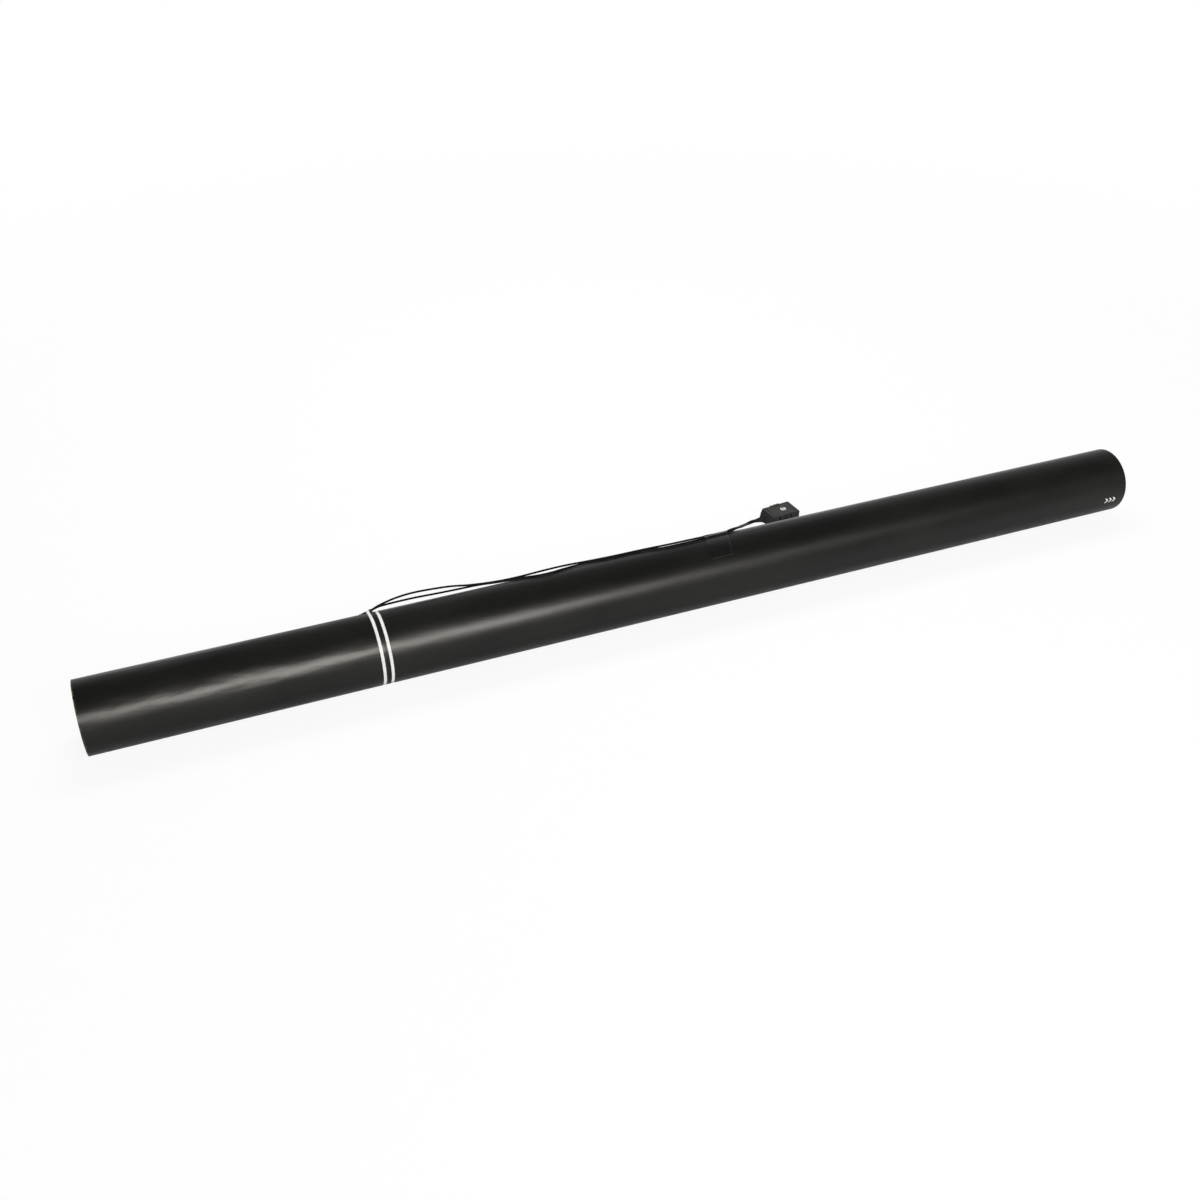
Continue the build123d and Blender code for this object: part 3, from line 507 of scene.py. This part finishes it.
def add_piece(name, points, faces, body, slot, *nodes):
    """A closed mesh, its points in millimetres."""
    mesh = bpy.data.meshes.new(name)
    mesh.from_pydata([[c * MM for c in p] for p in points], [], faces)
    mesh.polygons.foreach_set("use_smooth", [True] * len(mesh.polygons))
    mesh.materials.append(FINISH[slot])
    mesh.validate()
    piece = bpy.data.objects.new(name, mesh)
    scene.collection.objects.link(piece)
    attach(piece, body)
    if nodes:
        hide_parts(*nodes)
    return piece


def slab(points, faces, top, bottom):
    """Adds a thin closed sheet from two grids of points."""
    rows = len(top)
    columns = len(top[0])
    start = len(points)
    for grid in (top, bottom):
        for row in grid:
            points.extend(row)
    under = start + rows * columns

    def at(first, i, j):
        return first + i * columns + j

    for i in range(rows - 1):
        for j in range(columns - 1):
            faces.append((at(start, i, j), at(start, i + 1, j), at(start, i + 1, j + 1), at(start, i, j + 1)))
            faces.append((at(under, i, j), at(under, i, j + 1), at(under, i + 1, j + 1), at(under, i + 1, j)))
    border = [(i, 0) for i in range(rows)]
    border += [(rows - 1, j) for j in range(1, columns)]
    border += [(i, columns - 1) for i in range(rows - 2, -1, -1)]
    border += [(0, j) for j in range(columns - 2, 0, -1)]
    for here, after in zip(border, border[1:] + border[:1]):
        faces.append((at(start, *after), at(start, *here), at(under, *here), at(under, *after)))


def stacked(rows, sides):
    """Faces between rings of points that follow one another."""
    faces = []
    for row in range(rows - 1):
        near, far = row * sides, (row + 1) * sides
        for side in range(sides):
            after = (side + 1) % sides
            faces.append((near + side, near + after, far + after, far + side))
    return faces


def fade(value, low, high):
    """0 up to low, 1 from high, smooth between."""
    t = min(1.0, max(0.0, (value - low) / (high - low)))
    return t * t * (3 - 2 * t)


def along_route(route, x):
    """Angle round the barrel, in degrees, at which a lead lies at a station under the tape."""
    angles = [(p[0], math.degrees(math.atan2(p[1], p[2]))) for p in route]
    for (x0, a0), (x1, a1) in zip(angles, angles[1:]):
        if x0 <= x <= x1:
            return a0 + (a1 - a0) * fade(x, x0, x1)
    return EXIT_ANGLE


def add_tape():
    """Strip of tape, drawn down over the two leads and pressed on the barrel each side of them."""
    centre_x, width, skew = 451.4, 17.2, math.radians(20.0)
    start, end, rows, columns = -34.0, 106.0, 260, 31
    first_x, last_x = 440.0, 463.0
    thickness, seat, lead_rise = 0.2, 0.1, 1.42
    crown, foot, curl = 1.5, 7.5, 5.0
    top = []
    bottom = []
    for i in range(rows):
        angle = start + (end - start) * i / (rows - 1)
        high_row = []
        low_row = []
        for j in range(columns):
            across = width * (j / (columns - 1) - 0.5)
            x = centre_x + across / math.cos(skew)
            x += math.tan(skew) * OUTER_R * math.sin(math.radians(angle - EXIT_ANGLE))
            under = min(max(x, first_x), last_x)
            humps = [
                1.0 - fade(abs(angle - along_route(route, under)), crown, foot)
                for route in (UPPER_ROUTE, LOWER_ROUTE)
            ]
            hump = max(humps) + 0.35 * min(humps) * (1.0 - max(humps))
            flank = hump * (1.0 - hump) * 4.0
            crease = noise.noise(Vector((across * 0.33, angle * 0.21, 4.0)))
            ruck = noise.noise(Vector((across * 0.9, angle * 0.06, 9.0)))
            edge = fade(abs(across), width / 2 - 1.6, width / 2)
            lift = seat + lead_rise * hump + 0.08 * flank * crease + 0.02 * ruck + 0.05 * edge * flank
            tip = fade(start + curl - angle, 0.0, curl) + fade(angle - end + curl, 0.0, curl)
            lift += 0.16 * tip * (0.8 + ruck)
            high_row.append(polar(x, angle, OUTER_R + lift + thickness))
            low_row.append(polar(x, angle, OUTER_R + lift))
        top.append(high_row)
        bottom.append(low_row)
    points = []
    faces = []
    slab(points, faces, top, bottom)
    add_piece("tape_strip", points, faces, "barrel", "black_tape", "retaining_tape")


def add_cuff():
    """The film over the lead exit, carried back to meet the label so that no seam shows."""
    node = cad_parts["lead_cuff"]
    mesh = node.data.copy()
    mesh.name = "cuff_film"
    for vertex in mesh.vertices:
        if vertex.co.x < (CUFF_BACK + 0.05) * MM:
            vertex.co.x = LABEL_FRONT * MM
    film = bpy.data.objects.new("cuff_film", mesh)
    scene.collection.objects.link(film)
    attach(film, "barrel")
    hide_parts("lead_cuff")


def route_end(route, backs):
    """Points of a lead's line, in millimetres, at distances back from its far end."""
    data = route_curve("run", route)
    held = bpy.data.objects.new("run", data)
    mesh = bpy.data.meshes.new_from_object(held)
    line = [v.co / MM for v in mesh.vertices][::-1]
    bpy.data.meshes.remove(mesh)
    bpy.data.objects.remove(held)
    bpy.data.curves.remove(data)
    points = []
    for back in backs:
        left = back
        for near, far in zip(line, line[1:]):
            run = (far - near).length
            if left <= run:
                break
            left -= run
        points.append(near + (far - near) * (left / run))
    return points


def add_boot():
    """Rubber boot on the sleeve and over both leads: a collar against the nose, then a ringed tail."""
    sides, step, tail, collar = 40, 0.2, 10.0, 0.75
    socket_r, socket_floor = 2.25, -0.05
    collar_wide, collar_high, collar_corner = 3.75, 2.5, 0.6
    groove_from, groove_to, groove_pitch, groove_depth = 1.2, 7.2, 0.75, 0.15
    count = round(tail / step) + 1
    backs = [step * k for k in range(count)]
    upper = route_end(UPPER_ROUTE, backs)
    lower = route_end(LOWER_ROUTE, backs)
    middle = [(a + b) / 2 for a, b in zip(upper, lower)]
    points = []

    def ring(k, forward, wide, high, corner):
        """Ring of points square to the leads, an ellipse at corner 1 and squarer below it."""
        ahead = (middle[min(k + 1, count - 1)] - middle[max(k - 1, 0)]).normalized()
        across = upper[k] - lower[k]
        across = (across - ahead * across.dot(ahead)).normalized()
        up = ahead.cross(across)
        for side in range(sides):
            turn = 2 * math.pi * side / sides
            c, s = math.cos(turn), math.sin(turn)
            out = math.copysign(wide * abs(c) ** corner, c)
            rise = math.copysign(high * abs(s) ** corner, s)
            points.append(middle[k] - ahead * forward + across * out + up * rise)

    ring(0, socket_floor, socket_r, socket_r, 1.0)
    ring(0, collar, socket_r, socket_r, 1.0)
    ring(0, collar, 4.0, 2.55, collar_corner)
    for forward in (collar - 0.12, 0.42, 0.21):
        flare = forward / collar
        ring(0, forward, collar_wide + 0.4 * flare, collar_high + 0.2 * flare, collar_corner)
    for k, back in enumerate(backs):
        left = 1.0 - back / tail
        groove = 0.0
        if groove_from < back < groove_to:
            wave = math.sin(math.pi * (back - groove_from) / groove_pitch)
            groove = groove_depth * max(0.0, wave) ** 2
        tip = math.sqrt(max(0.0, 1.0 - max(0.0, back - tail + 0.6) ** 2 / 0.5))
        flange = 1.0 - fade(back, 0.0, 0.8)
        wide = 1.6 + 1.21 * left ** 1.47 - groove
        high = 0.88 + 1.45 * left ** 1.62 - groove
        wide += (collar_wide - wide) * flange
        high += (collar_high - high) * flange
        ring(k, 0.0, wide * tip, high * tip, 1.0 - (1.0 - collar_corner) * flange)
    rows = len(points) // sides
    faces = stacked(rows, sides)
    last = (rows - 1) * sides
    faces.append(tuple(range(sides - 1, -1, -1)))
    faces.append(tuple(range(last, last + sides)))
    return add_piece("lead_boot", points, faces, "barrel", "black_rubber")


def add_latch():
    """Low latch rail on the far top edge of the connector, sloped at both ends, with a nick in it."""
    first, length, height, columns = 6.8, 9.6, 0.85, 25
    near, width, lanes = 6.5, 1.7, 7
    nick, nick_half, sunk = 9.8, 0.9, -0.3
    turn = math.radians(CONNECTOR_YAW)
    top = []
    bottom = []
    for i in range(columns):
        x = first + length * i / (columns - 1)
        rise = height * fade(x, first, first + 1.2) * (1.0 - fade(x, first + length - 1.0, first + length))
        rise *= 1.0 - 0.75 * max(0.0, 1.0 - abs(x - nick) / nick_half)
        for grid, level in ((top, 0.04 + rise), (bottom, sunk)):
            row = []
            for j in range(lanes):
                y = near + width * j / (lanes - 1)
                round_off = 0.25 * abs(j - 3) ** 3 / 27 if level > 0 else 0.0
                row.append((
                    CONNECTOR[0] + x * math.cos(turn) - y * math.sin(turn),
                    CONNECTOR[1] + x * math.sin(turn) + y * math.cos(turn),
                    FLOOR_Z + CONNECTOR_H + max(-0.25, level - round_off),
                ))
            grid.append(row)
    points = []
    faces = []
    slab(points, faces, top, bottom)
    add_piece("latch_rail", points, faces, "barrel", "connector_plastic")


def add_confetti():
    """Ten packs of blue tissue slips, each of four loose-edged stacks."""
    draw = random.Random(41)
    packs, first_x, pack_pitch, slip_length, side_room = 10, 211.8, 55.4, 53.9, 0.85
    steps = 8
    # Each stack's sides in Y, its bottom and top, and how many slips it has
    stacks = (
        (0.2, 20.19, -8.99, 8.99, 19),
        (-20.19, -0.2, -8.99, 8.99, 19),
        (-9.99, 9.99, 9.39, 19.71, 11),
        (-9.99, 9.99, -19.71, -9.39, 11),
    )
    for index in range(packs):
        x0 = first_x + pack_pitch * index
        points = []
        faces = []
        for y0, y1, z0, z1, count in stacks:
            pitch = (z1 - z0) / count
            for layer in range(count):
                low = z0 + pitch * layer
                slip_x = x0 + draw.uniform(0.05, 1.1)
                slip_y = y0 + draw.uniform(0.05, 0.75)
                length = slip_length - draw.uniform(0.0, 0.4)
                width = y1 - y0 - side_room
                wave = draw.uniform(0.0, 6.28)
                grids = []
                for height in (0.80, 0.12):
                    grid = []
                    for i in range(steps + 1):
                        s = i / steps
                        bow = 0.08 * pitch * math.sin(wave + 5.0 * s)
                        grid.append([
                            (slip_x + length * s, slip_y + width * t, low + height * pitch + bow)
                            for t in (0.0, 0.5, 1.0)
                        ])
                    grids.append(grid)
                slab(points, faces, *grids)
        name = "confetti_slips_%02d" % (index + 1)
        add_piece(name, points, faces, "charge", "blue_tissue", "confetti_pack_%02d" % (index + 1))


def plug_form(x0, x1, radius, edge, rough, sides=96, rings=14):
    """A soft round plug across the bore: rounded edges, and faces and rim that give by a hollow."""
    profile = [(x0, radius * k / rings) for k in range(rings - 1)]
    for k in range(7):
        turn = math.pi / 2 * k / 6
        profile.append((x0 + edge - edge * math.cos(turn), radius - edge + edge * math.sin(turn)))
    steps = max(2, int((x1 - x0) / 1.6))
    for k in range(1, steps):
        profile.append((x0 + edge + (x1 - x0 - 2 * edge) * k / steps, radius))
    for k in range(7):
        turn = math.pi / 2 * k / 6
        profile.append((x1 - edge + edge * math.sin(turn), radius - edge + edge * math.cos(turn)))
    profile += [(x1, radius * k / rings) for k in range(rings - 2, -1, -1)]
    points = []
    middle = (x0 + x1) / 2
    for x, r in profile[1:-1]:
        pull = (x - middle) / (x1 - x0) * 2
        for side in range(sides):
            angle = 360.0 * side / sides
            inward = rough(Vector(polar(x, angle, r)))
            shrink = 1.0 - inward / radius * fade(r, 0.5 * radius, radius)
            points.append(polar(x - pull * abs(pull) * inward, angle, r * shrink))
    rows = len(profile) - 2
    faces = stacked(rows, sides)
    for x, row, turn in ((x0, 0, 1), (x1, rows - 1, -1)):
        points.append((x, 0.0, 0.0))
        hub = len(points) - 1
        for side in range(sides):
            pair = (row * sides + side, row * sides + (side + 1) % sides)
            faces.append((hub, *pair[::-turn]))
    return points, faces


def add_wads():
    """Felt wad behind the confetti and crumpled tissue in front of it."""
    def felted(spot):
        return 0.12 + 0.22 * abs(noise.fractal(spot * 0.35, 1.0, 2.0, 3))

    def crumpled(spot):
        ridge = 1.0 - abs(noise.noise(spot * 0.17))
        fold = abs(noise.noise(spot * 0.42 + Vector((7.0, 3.0, 1.0))))
        return 0.15 + 1.5 * ridge ** 3 + 0.9 * fold

    points, faces = plug_form(199.5, 211.5, RUN_R, 1.1, felted)
    felt = add_piece("felt_wad", points, faces, "charge", "felt", "pusher_wad")
    points, faces = plug_form(765.8, 786.7, RUN_R, 3.0, crumpled, 160, 24)
    tissue = add_piece("tissue_wad", points, faces, "charge", "white_tissue", "front_wad")


def add_cover():
    """Paper cup that closes the muzzle: a disc, turned back at its edge into a pleated skirt."""
    sides, half_pleats = 288, 18
    radius, face_x, skirt_x = RUN_R, 797.0, 787.0
    outer = [(face_x - 0.18 * (1 - k / 9) ** 2, radius * k / 10) for k in range(1, 10)]
    outer += [(face_x - 0.02, radius - 0.9), (face_x - 0.12, radius - 0.42), (face_x - 0.42, radius - 0.12)]
    outer += [(face_x - 0.9 - 8.6 * k / 6, radius) for k in range(7)]
    outer += [(skirt_x + 0.12, radius - 0.04)]
    inner = [(skirt_x, radius - 0.3), (skirt_x + 0.1, radius - 0.62)]
    inner += [(skirt_x + 0.5 + 7.9 * k / 5, radius - 0.75) for k in range(6)]
    inner += [(face_x - 1.1, radius * k / 10) for k in range(9, 0, -1)]
    profile = outer + inner
    points = []
    faces = []
    for x, r in profile:
        pleated = fade(r, 0.84 * radius, 0.97 * radius)
        for side in range(sides):
            angle = 360.0 * side / sides
            pleat = abs(math.sin(math.radians(angle * half_pleats)))
            give = noise.noise(Vector(polar(0.0, angle, r)) * 0.12)
            inward = 0.22 * pleated * (1.0 - pleat) ** 2
            push = 0.10 * (1.0 + give) * (1.0 - pleated) if x > face_x - 1.2 else 0.0
            points.append(polar(x - push, angle, r - inward))
    rows = len(profile)
    for i in range(rows - 1):
        near, far = i * sides, (i + 1) * sides
        for side in range(sides):
            after = (side + 1) % sides
            faces.append((near + side, far + side, far + after, near + after))
    points += [(face_x - 0.28, 0.0, 0.0), (face_x - 1.2, 0.0, 0.0)]
    for side in range(sides):
        after = (side + 1) % sides
        last = (rows - 1) * sides
        faces.append((len(points) - 2, side, after))
        faces.append((len(points) - 1, last + after, last + side))
    add_piece("paper_cup", points, faces, "cover", "black_paper", "muzzle_cover")


# Floor, light and world

FLOOR_HALF = 9.0


def add_floor():
    """White floor that keeps the object's shadow, and mirrors darker close to the object."""
    f = Finish("floor", Specular_IOR_Level=0.0)
    grain = f.noise(40.0, 3.0)
    f.color(f.mix(f.remap(grain, 0.3, 0.7, 0.0, 1.0), (0.93, 0.93, 0.93, 1.0), (0.95, 0.95, 0.95, 1.0)))
    f.rough(0.9)
    away = f.node("VectorMath", {0: f.place, 1: (0.4, 0.0, 0.0)}, operation="DISTANCE").outputs["Value"]
    white = f.node("Emission", {"Color": (1.0, 1.0, 1.0, 1.0), "Strength": 1.0})
    ray = f.node("LightPath").outputs
    mirrored = f.math("MAXIMUM", ray["Is Glossy Ray"], ray["Is Transmission Ray"])
    shade = f.remap(f.math("ABSOLUTE", f.y), 0.03, 0.2, 0.1, 1.0)
    seen = f.math("MAXIMUM", ray["Is Camera Ray"], f.math("MULTIPLY", mirrored, shade))
    share = f.math("MULTIPLY", seen, f.remap(away, 0.35, 1.3, 0.9, 1.0))
    both = f.node("MixShader", {0: share, 1: f.shader.outputs[0], 2: white.outputs[0]})
    f.tree.links.new(both.outputs[0], f.tree.nodes["Material Output"].inputs["Surface"])
    mesh = bpy.data.meshes.new("floor")
    z = FLOOR_Z * MM - 0.0001
    corners = ((-1, -1), (1, -1), (1, 1), (-1, 1))
    mesh.from_pydata([(x * FLOOR_HALF, y * FLOOR_HALF, z) for x, y in corners], [], [(0, 1, 2, 3)])
    mesh.materials.append(f.material)
    floor = bpy.data.objects.new("floor", mesh)
    scene.collection.objects.link(floor)


WHITE = (1.0, 1.0, 1.0)
WARM = (1.0, 0.93, 0.86)
# Name, place, target, size, watts, the kind of ray that is kept from it, and tint
LAMPS = (
    ("key", (0.37, -1.08, 0.70), (0.25, 0.0, 0.0), (0.8, 0.36), 8.0, None, WHITE),
    ("strip", (0.22, -1.08, 0.70), (0.2, 0.0, 0.0), (0.75, 0.36), 28.0, "diffuse", WARM),
    ("side", (1.02, -1.01, 0.80), (0.45, 0.0, 0.0), (0.5, 0.36), 1.7, None, WHITE),
    ("back", (0.5, 0.55, 1.0), (0.5, 0.05, 0.0), (0.7, 0.4), 8.5, "glossy", WHITE),
    ("glint", (1.08, 0.956, 0.60), (0.546, 0.078, -0.014), (0.12, 0.08), 0.045, "diffuse", WHITE),
)


def add_lamp(name, place, target, size, power, hidden, tint):
    """A soft box. One kind of ray, diffuse or glossy, can be kept from it."""
    lamp = bpy.data.lights.new(name, "AREA")
    lamp.shape = "RECTANGLE"
    lamp.size, lamp.size_y = size
    lamp.energy = power
    lamp.color = tint
    held = bpy.data.objects.new(name, lamp)
    held.location = place
    look(held, target)
    held.visible_camera = False
    if hidden:
        setattr(held, "visible_" + hidden, False)
    scene.collection.objects.link(held)


def add_world():
    """A pale studio: white near the horizon, dimmer overhead."""
    world = bpy.data.worlds.new("studio")
    scene.world = world
    world.use_nodes = True
    tree = world.node_tree
    back = tree.nodes["Background"]
    place = tree.nodes.new("ShaderNodeTexCoord")
    axes = tree.nodes.new("ShaderNodeSeparateXYZ")
    ramp = tree.nodes.new("ShaderNodeMapRange")
    ramp.interpolation_type = "SMOOTHSTEP"
    for socket, value in (("From Min", 0.25), ("From Max", 0.9), ("To Min", 0.55), ("To Max", 0.13)):
        ramp.inputs[socket].default_value = value
    tree.links.new(place.outputs["Generated"], axes.inputs[0])
    tree.links.new(axes.outputs["Z"], ramp.inputs["Value"])
    tree.links.new(ramp.outputs[0], back.inputs["Strength"])
    back.inputs["Color"].default_value = (1.0, 1.0, 1.0, 1.0)


add_camera()
dress_nodes()
boot = add_boot()
add_lead("lead_upper", UPPER_ROUTE, "lead_a")
add_lead("lead_lower", LOWER_ROUTE, "lead_b")
add_tape()
add_latch()
add_cuff()
add_confetti()
add_wads()
add_cover()
add_floor()
for lamp in LAMPS:
    add_lamp(*lamp)
add_world()
